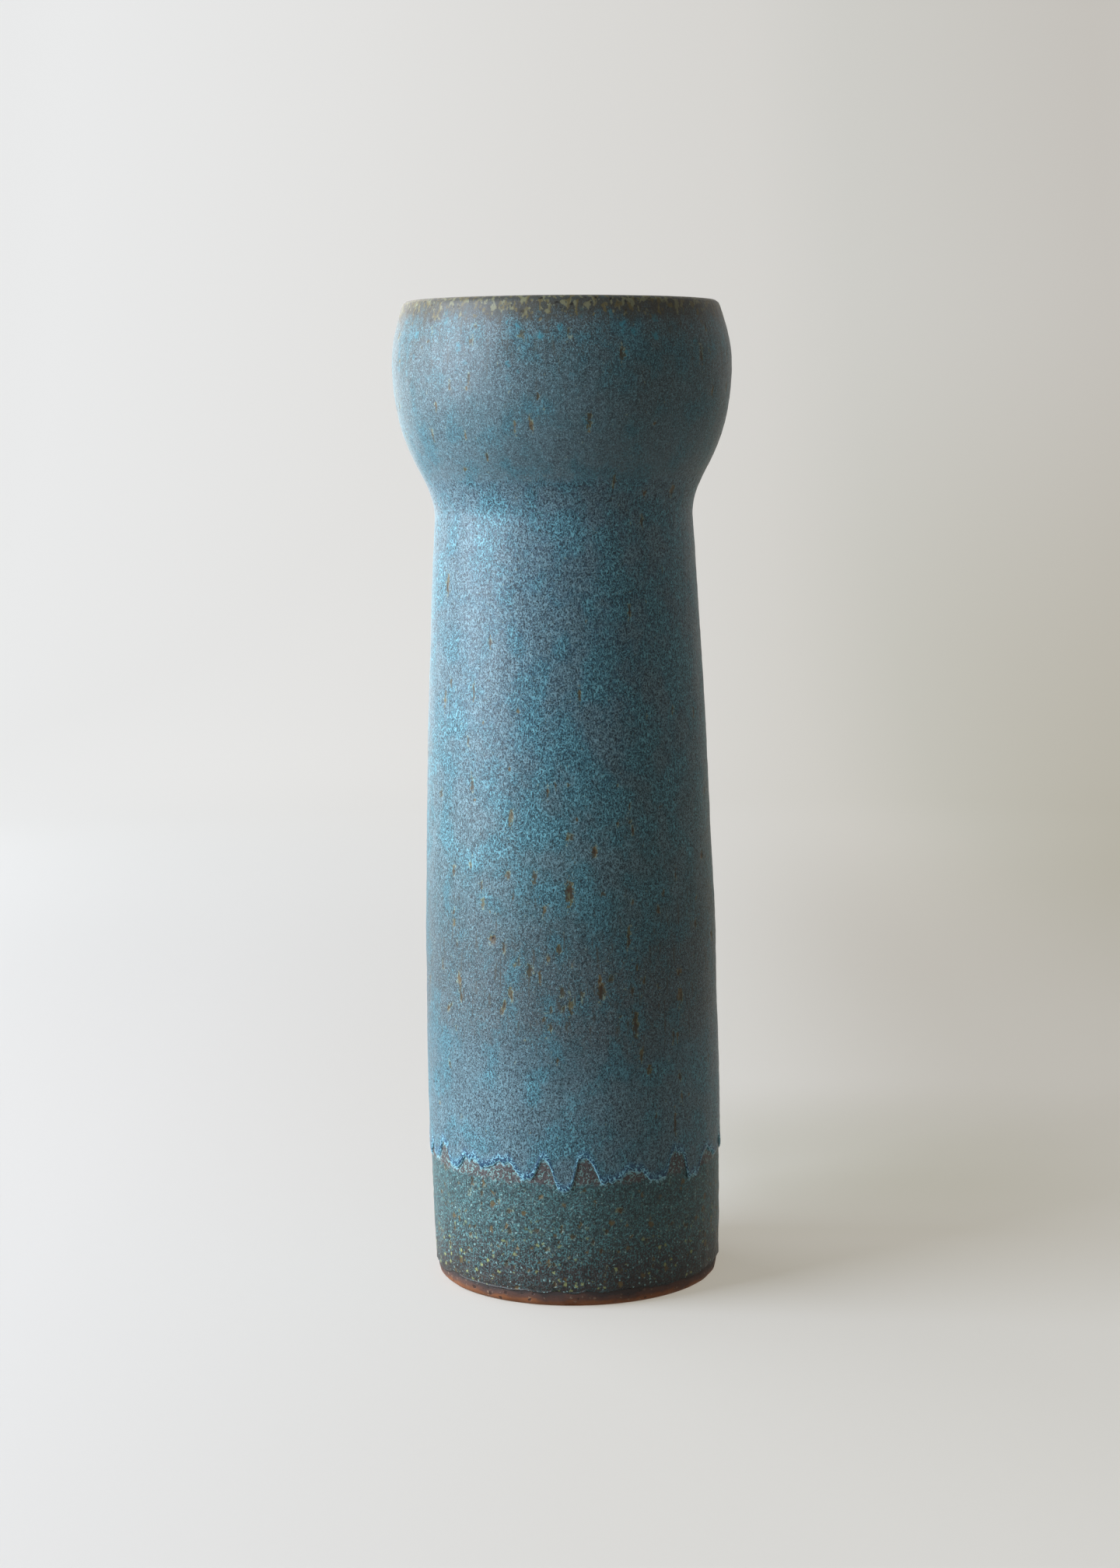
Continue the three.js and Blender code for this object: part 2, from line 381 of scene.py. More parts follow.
# small ragged flecks, 1 in the middle, in a portion of the cells of a given size
def flecks(size, portion, shift, squeeze=1.0, soft=0.18):
    vector = warped(coordinates(squeeze, shift), size * 0.45, size * 0.7)
    distance = cells(vector, size)
    chosen = addNode("ShaderNodeSeparateColor")
    tree.links.new(cells(vector, size, output="Color"), chosen.inputs[0])
    reach = between(chosen.outputs[0], 1 - portion, 1.0, 0.0, 0.5)
    return between(calc("SUBTRACT", reach, distance), 0.0, soft)


# a colour that changes along a value: stops are (value, colour)
def colourRamp(value, stops):
    ramp = addNode("ShaderNodeValToRGB")
    first, last = stops[0][0], stops[-1][0]
    reach = addNode("ShaderNodeMapRange")
    for name, setting in (("Value", value), ("From Min", first), ("From Max", last)):
        feed(reach.inputs[name], setting)
    tree.links.new(reach.outputs[0], ramp.inputs[0])
    steps = ramp.color_ramp.elements
    while len(steps) < len(stops):
        steps.new(0.5)
    for step, (stop, colour) in zip(steps, stops):
        step.position = (stop - first) / (last - first)
        step.color = (*colour, 1)
    return ramp.outputs[0]


surfaceSpecular = 0.26        # how strongly every surface of the vase mirrors


# depth is how deep the relief is, in millimetres
def finishSurface(colour, roughness, relief, depth):
    shader = next(n for n in tree.nodes if n.type == "BSDF_PRINCIPLED")
    feed(shader.inputs["Base Color"], colour)
    feed(shader.inputs["Roughness"], roughness)
    shader.inputs["Specular IOR Level"].default_value = surfaceSpecular
    bump = addNode("ShaderNodeBump")
    bump.inputs["Strength"].default_value = 1.0
    bump.inputs["Distance"].default_value = depth * mm
    feed(bump.inputs["Height"], relief)
    tree.links.new(bump.outputs[0], shader.inputs["Normal"])


def total(*parts):
    value = parts[0]
    for part in parts[1:]:
        value = calc("ADD", value, part)
    return value


def share(value, amount):
    return calc("MULTIPLY", value, amount)


# moves a value of 0 to 1 to either side of 0, and stretches it
def swing(value, reach):
    return share(calc("SUBTRACT", value, 0.5), reach)


# The edge where the top glaze stopped

dripStyle = {
    "ripple": 0.42,           # small scallops on top of the CAD's drips
    "rippleSize": 4.6,
    "fineRipple": 0.2,
    "fineSize": 2.7,
    "rollWidth": 2.0,         # how soon the glaze reaches its full thickness above the edge
    "bead": 0.16,             # extra thickness of the bead along the edge
    "beadAbove": 1.4,         # how far above the edge the bead is thickest
    "beadWidth": 1.5,
    "reach": 7,               # columns on either side that a drip or an arch is compared with
    "rounding": 2,            # how often the tips of the drips and the arches are rounded
    "archShare": 0.9,         # below 1 the arches are wider, above 1 the drips are
    "bluntAbove": 49.0,       # the arches are lower than in the CAD above this height
    "bluntness": 0.75,        # and rise by this much of their height there
    "straightAbove": 66.0,    # rings follow the edge below this height
    "rings": 26,              # how many rings there are below it
    "crowding": 1.7,          # how much closer together they are by the edge
}


# height of the edge at every column: the lowest points of the top glaze, rounded and rippled
def readDripEdge():
    points = nodePoints("top_glaze")
    low = points[points[:, 2] < dripStyle["straightAbove"] - 5]
    around = np.arctan2(low[:, 0] - middleAt(low[:, 2]), -low[:, 1]) % fullTurn
    lowest = {}
    for turn, level in zip(np.round(around, 2), low[:, 2]):
        lowest[turn] = min(level, lowest.get(turn, level))
    known = np.array(sorted(lowest))
    levels = np.array([lowest[turn] for turn in known])
    edge = np.interp(angles, known, levels, period=fullTurn)
    # round the tips of the drips and the arches between them, with steeper sides
    steps = range(-dripStyle["reach"], dripStyle["reach"] + 1)
    edge = np.min([np.roll(edge, step) for step in (-1, 0, 1)], axis=0)
    for _ in range(dripStyle["rounding"]):
        tips = np.min([np.roll(edge, step) for step in steps], axis=0)
        tops = np.max([np.roll(edge, step) for step in steps], axis=0)
        tips, tops = (sum(np.roll(levels, step) for step in steps) / len(steps) for levels in (tips, tops))
        part = np.clip((edge - tips) / np.maximum(tops - tips, 0.1), 0, 1)**dripStyle["archShare"]
        edge = tips + (tops - tips) * part**2 * (3 - 2 * part)
    blunt = dripStyle["bluntAbove"]
    edge = np.minimum(edge, blunt + dripStyle["bluntness"] * (edge - blunt))
    edge = (np.roll(edge, 1) + 2 * edge + np.roll(edge, -1)) / 4
    flat = np.zeros(1)
    return (edge + dripStyle["ripple"] * waves(flat, dripStyle["rippleSize"], 11)
            + dripStyle["fineRipple"] * waves(flat, dripStyle["fineSize"], 13))


dripEdge = readDripEdge()
print("drip edge from", round(dripEdge.min(), 1), "to", round(dripEdge.max(), 1), "mm")


# Clay

claySpec = {
    "seen": 0.7,              # spacing of the rings on the bare foot
    "hidden": 4.0,            # and under the glaze
    "footTop": 8.0,           # the foot counts as bare below this height
    "wobble": 0.12,           # how uneven the foot is
    "wobbleSize": 14.0,
    "setBack": 0.12,          # holds the uneven foot inside the true size
    "chip": {"angle": -2, "footRadius": 47, "width": 3.0, "height": 1.6, "depth": 1.3},
    "warm": (0.235, 0.09, 0.036),
    "flash": (0.095, 0.05, 0.038),
    "grain": (0.55, 0.5, 0.45),
    "grit": (0.3, 0.2, 0.13),
    "iron": (0.03, 0.016, 0.012),
    "glazeLine": (0.032, 0.027, 0.026),
}


def clayMaterial():
    material = newMaterial("bareStoneware")
    here = coordinates()
    patch = noise(coordinates(1.6), 9.0, 3.0, 0.6)
    rise = total(heightOf(), swing(patch, 6.0))
    tone = blendColour(between(rise, 0.9, 3.0), claySpec["warm"], claySpec["flash"])
    grain = noise(here, 0.7, 3.0, 0.65)
    tone = blendColour(between(grain, 0.35, 0.75), tone, claySpec["grain"], "SOFT_LIGHT")
    grit = flecks(1.3, 0.35, 5.0)
    tone = laid(tone, claySpec["grit"], grit, 0.55)
    iron = flecks(1.9, 0.22, 17.0)
    tone = laid(tone, claySpec["iron"], iron, 0.8)
    line = between(rise, 3.2, 4.8)
    tone = laid(tone, claySpec["glazeLine"], line, 0.85)
    roughness = between(grain, 0.3, 0.8, 0.55, 0.85)
    relief = total(share(grain, 0.6), grit, share(iron, -1.0))
    finishSurface(tone, roughness, relief, 0.12)
    return material


def claySpacing(height):
    return claySpec["seen"] if height < claySpec["footTop"] else claySpec["hidden"]


def makeClay(name, nodeName, material):
    parts = [spaced(smoothCurve(p), claySpacing) for p in stretchesOf(nodeName)]
    line = np.vstack([p[:-1] for p in parts] + [parts[-1][-1:]])
    line[:, 1] = np.maximum(line[:, 1], cadBox[0][2] / mm)
    onAxis = line[0, 0] < 0.5
    line = line[1:-1] if onAxis else line[:-1]
    radius, height = ringsOf(line)
    uneven = claySpec["wobble"] * waves(height, claySpec["wobbleSize"], 3)
    uneven = uneven * np.clip(1 - height / claySpec["footTop"], 0, 1)
    chip = claySpec["chip"]
    away = wrapped(angles - math.radians(chip["angle"])) * chip["footRadius"] / chip["width"]
    notch = np.exp(-away**4 - (height / chip["height"])**2)
    outer = np.clip((radius - 44) / 2, 0, 1) * (height > 0.05)     # not the recess, nor the flat ring
    radius = radius + (uneven - claySpec["setBack"]) * outer - chip["depth"] * notch * outer
    piece = bodyFrom(name, radius, rimDip(height), "axis" if onAxis else "loop")
    return place(piece, "stoneware_clay", material, nodeName)


# Base glaze: dark green with turquoise flecks and iron spots

baseSpec = {
    "seen": 1.0,              # spacing of the rings
    "hidden": 9.0,
    "lowEdge": 5.2,           # where the glaze begins above the bare foot
    "lowWander": 0.35,
    "straightAbove": 16.0,    # rings follow the low edge below this height
    "rollWidth": 0.9,         # how soon the glaze reaches its full thickness
    "setBack": 0.25,          # where the top glaze covers it
    # (height, colour) from the foot up
    "tones": [(6.0, (0.034, 0.024, 0.02)), (13.0, (0.038, 0.032, 0.031)), (18.0, (0.04, 0.046, 0.045)),
              (25.0, (0.044, 0.073, 0.075)), (44.0, (0.042, 0.077, 0.082))],
    "shadow": (0.008, 0.014, 0.015),
    "turquoise": (0.115, 0.3, 0.31),
    "pale": (0.26, 0.44, 0.42),
    "green": (0.31, 0.35, 0.14),
    "ochre": (0.115, 0.08, 0.03),
    "patches": ((0.05, 0.046, 0.048), (0.095, 0.083, 0.082)),
    "crumbs": (0.21, 0.38, 0.37),
    "halo": (0.26, 0.52, 0.58),
    "rust": (0.15, 0.11, 0.048),
    # (angle, height, width, length) of the larger iron spots seen from the front
    "marks": [
        (-63.5, 42.5, 1.3, 1.5), (-68, 33, 1.2, 1.2), (-44.7, 40.3, 1, 1.5), (-40, 37.5, 1, 1.8),
        (-32, 35.5, 1, 1), (-27, 32.8, 1.5, 1.2), (-27, 25.8, 1.3, 1.6), (-24, 20.3, 1, 1),
        (-15.7, 26.7, 1.6, 1.3), (-14, 38.7, 1.1, 1.1), (2.7, 41.3, 1, 1), (-6, 28.3, 1, 1),
        (17, 33.3, 1.9, 1), (39.7, 25.8, 1.4, 1.1), (48, 24, 1.5, 1.2), (-61.6, 15.8, 1.5, 1.2),
        (-50, 15, 1, 1), (-29, 14, 1.1, 1.3), (-57, 22.5, 1, 1.6), (26, 39.5, 0.7, 0.7),
    ],
    "pits": [(-72, 23, 0.9, 0.9), (-27, 34, 0.6, 0.6), (-24.5, 20.5, 0.7, 0.7), (13.4, 13.3, 1, 1),
             (-29, 15, 0.7, 0.7), (26, 39.5, 0.6, 0.6), (-46, 335, 0.7, 0.7), (-35, 335.6, 0.7, 0.7)],
    "moreMarks": 150,
    "morePits": 26,
}


# small marks all round, more of them where crowd is nearer to 1
def scattered(count, seed, lowHeight, highHeight, widths, lengths, crowd=lambda height: 1.0):
    dice = random.Random(seed)
    marks = []
    while len(marks) < count:
        height = dice.uniform(lowHeight, highHeight)
        if dice.random() < crowd(height):
            marks.append((dice.uniform(-180, 180), height, dice.uniform(*widths), dice.uniform(*lengths)))
    return marks


rimColours = {
    "brown": (0.05, 0.045, 0.034),
    "ochre": (0.115, 0.095, 0.038),
    "cream": (0.175, 0.175, 0.098),
    "iron": (0.012, 0.01, 0.008),
}


# the glaze breaks to olive brown at the lip, with cream and ochre flecks
def rimTone(tone, height, strength=1.0):
    uneven = noise(coordinates(0.4, 9.0), 4.0, 3.0, 0.6)
    level = total(height, swing(uneven, 14.0))
    brown = share(between(level, 329.0, 336.0), 0.85 * strength)
    tone = blendColour(brown, tone, rimColours["brown"])
    dense = between(level, 330.0, 337.5)
    clump = noise(coordinates(0.6, 41.0), 1.5, 3.0, 0.6)
    reach = between(dense, 0.0, 1.0, 0.66, 0.5)
    clump = between(calc("SUBTRACT", clump, reach), 0.0, 0.05)
    kind = noise(coordinates(0.6, 53.0), 2.2, 1.0)
    light = blendColour(between(kind, 0.42, 0.58), rimColours["ochre"], rimColours["cream"])
    clump = share(clump, between(dense, 0.0, 0.15))
    tone = laid(tone, light, clump, 0.85)
    iron = share(flecks(1.6, 0.5, 67.0), dense)
    return laid(tone, rimColours["iron"], iron, 0.9)


markColours = {
    # ring: the colour of the painted glint on the rims of the marks
    "ring": (0.26, 0.33, 0.24),
    "brown": (0.046, 0.041, 0.022),
    "heart": (0.038, 0.022, 0.012),
    # pit: painted shade inside the open pits
    "pit": (0.004, 0.003, 0.003),
}


# ochre blotches with a dark heart and a pale broken ring, which is a painted glint, and open pits with
# painted shade in them; also gives how deep they are
def speckled(tone, ochre):
    ragged = swing(noise(coordinates(0.7), 1.0, 2.0, 0.6), 1.5)
    rust = total(field("rust"), ragged)
    kind = noise(coordinates(0.5, 91.0), 3.0, 1.0)
    glint = noise(coordinates(0.8, 93.0), 1.0, 1.0)
    glint = share(between(glint, 0.52, 0.62), 0.65)
    ring = share(between(rust, 0.25, 0.35), between(rust, 0.6, 0.45))
    # painted glint on part of each mark's rim
    tone = blendColour(share(ring, glint), tone, markColours["ring"])
    ochre = blendColour(between(kind, 0.44, 0.6), markColours["brown"], ochre)
    tone = blendColour(between(rust, 0.42, 0.58, 0.0, 0.85), tone, ochre)
    heart = share(between(rust, 0.68, 0.88), between(kind, 0.36, 0.48, 0.5, 0.95))
    tone = blendColour(heart, tone, markColours["heart"])
    # open pits painted almost black: painted shade in the holes
    pit = total(field("pit"), share(ragged, 0.5))
    tone = blendColour(between(pit, 0.5, 0.7), tone, markColours["pit"])
    dent = total(share(between(rust, 0.4, 0.7), -0.6),
                 share(between(pit, 0.45, 0.7), -1.2))
    return tone, dent


def baseMaterial():
    material = newMaterial("greenBaseGlaze")
    height = heightOf()
    cloud = noise(coordinates(1.3, 3.0), 15.0, 3.0, 0.6)
    grain = noise(coordinates(0.9, 7.0), 0.7, 2.0, 0.6)
    low = total(height, swing(cloud, 16.0))
    tone = colourRamp(low, baseSpec["tones"])
    tone = blendColour(between(grain, 0.52, 0.36, 0.0, 0.85), tone, baseSpec["shadow"])
    # turquoise grains, drawn out and joined here and there
    worm = squiggles(0.85, 0.1, 0.85, 13.0, 0.45)
    dots = flecks(0.8, 0.8, 15.0, soft=0.25)
    teal = calc("MAXIMUM", share(worm, 0.62), share(dots, 0.7))
    tealAmount = share(teal, between(low, 4.0, 20.0, 0.25, 1.0))
    tone = blendColour(tealAmount, tone, baseSpec["turquoise"])
    pale = flecks(0.95, 0.3, 23.0, soft=0.2)
    tone = laid(tone, baseSpec["pale"], pale, 0.75)
    green = flecks(1.9, 0.5, 29.0, soft=0.3)
    green = share(green, between(low, 32.0, 15.0, 0.15, 1.0))
    tone = laid(tone, baseSpec["green"], green, 0.85)
    ochre = flecks(2.7, 0.42, 37.0, 0.8, 0.25)
    tone = laid(tone, baseSpec["ochre"], ochre, 0.85)
    # brown patches under the arches of the drip edge, with crumbs of the top glaze left in them
    wander = swing(noise(coordinates(), 2.0, 2.0), 6.0)
    arch = between(total(height, wander), 42.4, 43.6)
    arch = share(arch, between(height, 60.0, 56.0))
    brown = blendColour(between(grain, 0.4, 0.6), *baseSpec["patches"])
    crumbs = squiggles(1.0, 0.12, 1.0, 77.0, 0.5)
    brown = laid(brown, baseSpec["crumbs"], crumbs, 0.9)
    tone = blendColour(arch, tone, brown)
    # broken pale line where the top glaze ends
    under = total(field("under"), swing(grain, 1.6))
    broken = between(noise(coordinates(1, 8), 1.3), 0.46, 0.54)
    halo = share(between(under, 1.2, 0.4), broken)
    tone = laid(tone, baseSpec["halo"], halo, 0.85)
    tone = rimTone(tone, height)
    tone, dent = speckled(tone, baseSpec["rust"])
    roughness = total(between(grain, 0.35, 0.7, 0.38, 0.5), share(teal, 0.08))
    peel = noise(coordinates(1.0, 5.0), 1.6, 2.0)
    relief = total(share(peel, 0.9), share(teal, 0.4), share(pale, 0.4),
                   share(ochre, -0.4), dent)
    finishSurface(tone, roughness, relief, 0.16)
    return material


# rings lie close where the coat shows, and about the crease, where the wall turns
def baseSpacing(height):
    if height < 56 or height > 325 or 262 < height < 290:
        return baseSpec["seen"]
    return baseSpec["hidden"]


def baseCrowd(height):
    return 0.35 + 0.65 * (height < 30)


def makeBaseGlaze(material):
    front, back = coatFaces("base_glaze")
    outer = spaced(front, baseSpacing)
    inner = spaced(back, lambda height: 6.0 if height < 325 else 1.5)[::-1]
    radius, height = ringsOf(np.vstack([outer, inner]))
    outerRows = (np.arange(len(radius)) < len(outer))[:, None]
    lowEdge = baseSpec["lowEdge"] + baseSpec["lowWander"] * waves(np.zeros(1), 12, 21)
    # the lowest rings follow the wandering edge of the glaze
    straight = baseSpec["straightAbove"]
    squeezed = (height - outer[0, 1]) / (straight - outer[0, 1])
    followed = lowEdge + np.clip(squeezed, 0, 1) * (straight - lowEdge)
    height = np.where(height < straight, followed, height)
    foot = cadOutline("clay_column")[0]
    foot = foot[(foot[:, 1] < outer[0, 1] - 0.1) & (foot[:, 0] > 46)]
    wall = np.vstack([foot[foot[:, 1].argsort()], back[:back[:, 1].argmax()]])
    backRadius = np.interp(height, wall[:, 1], wall[:, 0]) + clearance
    above = np.clip((height - lowEdge) / baseSpec["rollWidth"], 0, 1)
    roll = np.sqrt(np.clip(1 - (1 - above)**2, 0, 1))
    rolled = backRadius + (radius - backRadius) * (0.06 + 0.94 * roll)
    radius = np.where(outerRows & (height < straight), rolled, radius)
    wobble = 0.07 * waves(height, 9, 31) + 0.04 * waves(height, 4.5, 33)
    marks = baseSpec["marks"] + scattered(baseSpec["moreMarks"], 41, 8, 44, (0.5, 1.2), (0.5, 1.4), baseCrowd)
    marks += scattered(60, 43, 331, 341, (0.5, 1.0), (0.6, 1.6))
    pits = baseSpec["pits"] + scattered(baseSpec["morePits"], 47, 9, 42, (0.4, 0.7), (0.4, 0.7))
    rust = markField(height, marks)
    pit = markField(height, pits)
    lift = (wobble - 0.12 - 0.12 * rust - 0.3 * pit) * above * outerRows
    covered = np.clip((height - 58) / 6, 0, 1) * np.clip((332 - height) / 6, 0, 1)
    lift = lift - baseSpec["setBack"] * covered * outerRows
    radius, height = lifted(radius, height, lift)
    piece = bodyFrom("base_glaze_coat", radius, rimDip(height), "loop")
    paintField(piece, "rust", rust * outerRows)
    paintField(piece, "pit", pit * outerRows)
    paintField(piece, "under", np.clip(dripEdge - height, 0, 50))
    return place(piece, "green_base_glaze", material, "base_glaze")


# Top glaze: crystalline blue

topSpec = {
    "seen": 1.4,              # spacing of the rings
    "inBox": 0.2,             # how far the head's unevenness is held inside the true size
    "corner": 0.5,            # how sharply the lip turns over, at this height
    "cornerHeight": 338.3,
    # (height, colour) of the ground on the column, then on the head; the lower stops on the head are lighter,
    # partly the glaze's own tone and partly a painted reflection of the pale floor under the head's bulge
    "bands": [(52.0, (0.066, 0.119, 0.152)), (84.0, (0.072, 0.126, 0.152)), (98.0, (0.078, 0.101, 0.107)),
              (120.0, (0.064, 0.088, 0.094)), (140.0, (0.042, 0.09, 0.103)), (172.0, (0.034, 0.086, 0.107)),
              (200.0, (0.032, 0.088, 0.126)), (240.0, (0.036, 0.09, 0.13)), (270.0, (0.058, 0.106, 0.144))],
    "crown": [(274.0, (0.105, 0.155, 0.18)), (292.0, (0.068, 0.118, 0.136)),
              (314.0, (0.044, 0.076, 0.086)), (332.0, (0.048, 0.06, 0.062))],
    "greyer": (0.066, 0.084, 0.098),
    "bluer": (0.016, 0.092, 0.13),
    "shadow": (0.006, 0.014, 0.019),
    "crystals": ((0.215, 0.385, 0.44), (0.145, 0.38, 0.45)),
    "blobs": (0.045, 0.23, 0.29),
    "runs": (0.052, 0.048, 0.034),
    "pool": (0.014, 0.052, 0.11),
    "curls": (0.25, 0.56, 0.67),
    "lip": (0.3, 0.6, 0.68),
    "rust": ((0.135, 0.092, 0.036), (0.105, 0.1, 0.042)),
    # (angle, height, width, length) of the larger marks and pits seen from the front
    "marks": [
        (-41.5, 178, 1, 5), (-23, 167.5, 1.1, 4.2), (-62.5, 173, 1.2, 1.8), (-0.6, 161, 0.9, 3),
        (9.6, 156, 1.5, 2.8), (-13.8, 148, 0.9, 4), (-24.6, 148, 1.2, 1.8), (-0.3, 142.5, 2, 6),
        (12.5, 142, 1.1, 1.3), (-22.5, 141, 0.9, 1.3), (-52, 147.5, 1.2, 2.6), (-36, 138, 0.9, 2.4),
        (-10, 136.7, 0.9, 2.4), (-31.6, 126, 2.1, 2.2), (-4.8, 124, 1.4, 1.8), (22.8, 126.7, 0.9, 5.5),
        (58, 127.5, 1.5, 1.6), (74, 122, 1.5, 1.6), (-16, 116.7, 1.6, 2.8), (-12, 114, 0.9, 3.4),
        (-49, 111, 1.3, 2.8), (11, 109, 1.5, 4.4), (-3.5, 109, 1.1, 2.4), (15, 113, 1.2, 1.7),
        (-0.6, 105, 0.9, 4.6), (46, 113, 1.4, 2.4), (46, 104.5, 1.6, 3.6), (24.6, 97.5, 1.4, 6.4),
        (30, 80.8, 1.2, 2.8), (-56, 100, 1, 2), (-56, 80, 0.9, 2), (66, 150.5, 1.8, 1.9),
        (-60, 244, 1.4, 5), (-60, 205.6, 0.9, 5), (-41, 209, 0.7, 5), (-20, 203.4, 0.8, 1.2),
        (-47, 304, 0.9, 2.2), (-40.6, 283, 1.1, 1.2), (-10.8, 298, 1.1, 3.2), (8.7, 298.5, 1, 5),
        (52.7, 319.6, 1.1, 5), (19.8, 320, 1.3, 3.6), (52, 275, 1.6, 2.2), (36, 274.5, 1.1, 1.6),
        (-74, 328, 1.6, 2.2), (42, 60, 0.7, 8), (-33, 226, 1, 2.5), (60, 308, 0.9, 3.5),
    ],
    "pits": [(-44.8, 236, 1, 1), (-0.6, 145.5, 0.9, 1.4), (-31.6, 126.3, 1, 0.9),
             (-62.5, 173, 0.7, 0.7), (58, 127.5, 0.9, 0.9), (74, 122, 1, 1), (66, 150.5, 1, 1),
             (-16, 117.5, 0.7, 1)],
    "moreMarks": 300,
    "morePits": 40,
    # broad patches where the crystals are bluer, or the ground greyer
    "blueClouds": [(8, 137, 22, 9), (38, 128, 14, 8), (-8, 160, 12, 7), (14, 172, 18, 7), (-62, 196, 18, 10),
                   (-75, 122, 9, 5), (20, 238, 20, 22), (-8, 250, 12, 10), (0, 56, 16, 10), (30, 322, 30, 6),
                   (-12, 326, 18, 5), (130, 180, 26, 16), (-150, 130, 24, 12), (170, 240, 26, 18)],
    "greyClouds": [(-40, 106, 26, 9), (10, 116, 16, 7), (48, 108, 20, 9), (-52, 168, 20, 10),
                   (-30, 216, 14, 26), (-45, 73, 22, 10), (-20, 312, 16, 8), (20, 292, 26, 8),
                   (150, 108, 40, 10), (-120, 100, 30, 9), (110, 290, 26, 8)],
}


def topMaterial():
    material = newMaterial("blueTopGlaze")
    height = heightOf()
    cloud = noise(coordinates(1.6, 2.0), 30.0, 3.0, 0.55)
    level = total(height, swing(cloud, 44.0))
    patch = noise(coordinates(0.8, 61.0), 10.0, 3.0, 0.55)
    patch = total(patch, share(field("cloud"), 0.09))
    head = between(height, 277.5, 281.0)
    # ground: greyer where patch is low, bluer where it is high
    # the head's ground holds a painted reflection of the floor on its lower part
    ground = blendColour(head, colourRamp(level, topSpec["bands"]),
                         colourRamp(level, topSpec["crown"]))
    ground = blendColour(between(patch, 0.5, 0.36, 0.0, 0.32), ground, topSpec["greyer"])
    tone = blendColour(between(patch, 0.5, 0.64, 0.0, 0.4), ground, topSpec["bluer"])
    grain = noise(coordinates(0.8, 83.0), 0.6, 2.0, 0.6)
    darkness = share(between(grain, 0.58, 0.41), between(head, 0.0, 1.0, 0.82, 0.5))
    tone = blendColour(darkness, tone, topSpec["shadow"])
    # crystals: long pale worms on the column, short ones everywhere, grains on the head
    long = squiggles(0.72, 0.085, 0.6, 4.0, 0.44)
    short = squiggles(0.5, 0.095, 0.75, 19.0, 0.46)
    grains = flecks(0.62, 0.6, 71.0, 0.8, 0.4)
    longAmount = total(between(level, 92.0, 70.0, 0.0, 0.6),
                       between(level, 118.0, 160.0, 0.0, 0.6),
                       between(patch, 0.5, 0.62, 0.1, 0.4))
    longAmount = share(calc("MINIMUM", longAmount, 0.95),
                       between(height, 281.0, 278.0, 0.35, 1.0))
    line = calc("MAXIMUM", share(long, longAmount), share(short, 0.62))
    grains = share(grains, between(height, 276.0, 282.0, 0.15, 0.5))
    line = calc("MAXIMUM", line, grains)
    pale = blendColour(between(patch, 0.42, 0.6), *topSpec["crystals"])
    tone = blendColour(line, tone, pale)
    # turquoise blobs, mostly under the rim
    blobs = flecks(3.4, 0.45, 97.0, 0.8, 0.25)
    blobs = share(blobs, total(between(height, 308.0, 322.0, 0.0, 0.65), 0.1))
    blobs = share(blobs, between(grain, 0.35, 0.55))
    tone = blendColour(blobs, tone, topSpec["blobs"])
    # thin brown runs, thickest in the middle of the column and under the rim
    runs = between(noise(coordinates(0.14, 47.0), 1.2, 2.0, 0.55), 0.58, 0.72, 0.0, 0.6)
    where = total(share(between(height, 160.0, 120.0), between(height, 80.0, 98.0)),
                  between(height, 290.0, 330.0, 0.0, 0.8), 0.15)
    tone = blendColour(share(runs, where), tone, topSpec["runs"])
    # along the drip edge: a deep blue pool with pale curls, then a broken pale line
    edge = field("edge")
    pool = between(edge, 4.4, 1.6)
    tone = laid(tone, topSpec["pool"], pool, 0.84)
    curls = squiggles(1.0, 0.11, 1.0, 29.0, 0.45)
    curls = share(curls, between(edge, 4.0, 1.8, 0.0, 0.95))
    tone = blendColour(curls, tone, topSpec["curls"])
    lip = share(between(edge, 0.7, 0.4), between(grain, 0.45, 0.51))
    tone = laid(tone, topSpec["lip"], lip, 0.9)
    tone = rimTone(tone, height)
    rust = blendColour(between(patch, 0.45, 0.6), *topSpec["rust"])
    tone, dent = speckled(tone, rust)
    roughness = total(between(grain, 0.35, 0.7, 0.42, 0.32), share(line, 0.06))
    peel = noise(coordinates(0.9, 5.0), 1.7, 2.0)
    relief = total(share(peel, 0.7), share(line, 0.4), dent)
    finishSurface(tone, roughness, relief, 0.06)
    return material


# most marks lie in the middle of the column, and there are a few more below the rim
def topCrowd(height):
    middle = math.exp(-((height - 112) / 24)**2)
    return 0.1 + 0.9 * middle + 0.25 * (130 < height < 185) + 0.35 * (height > 290)


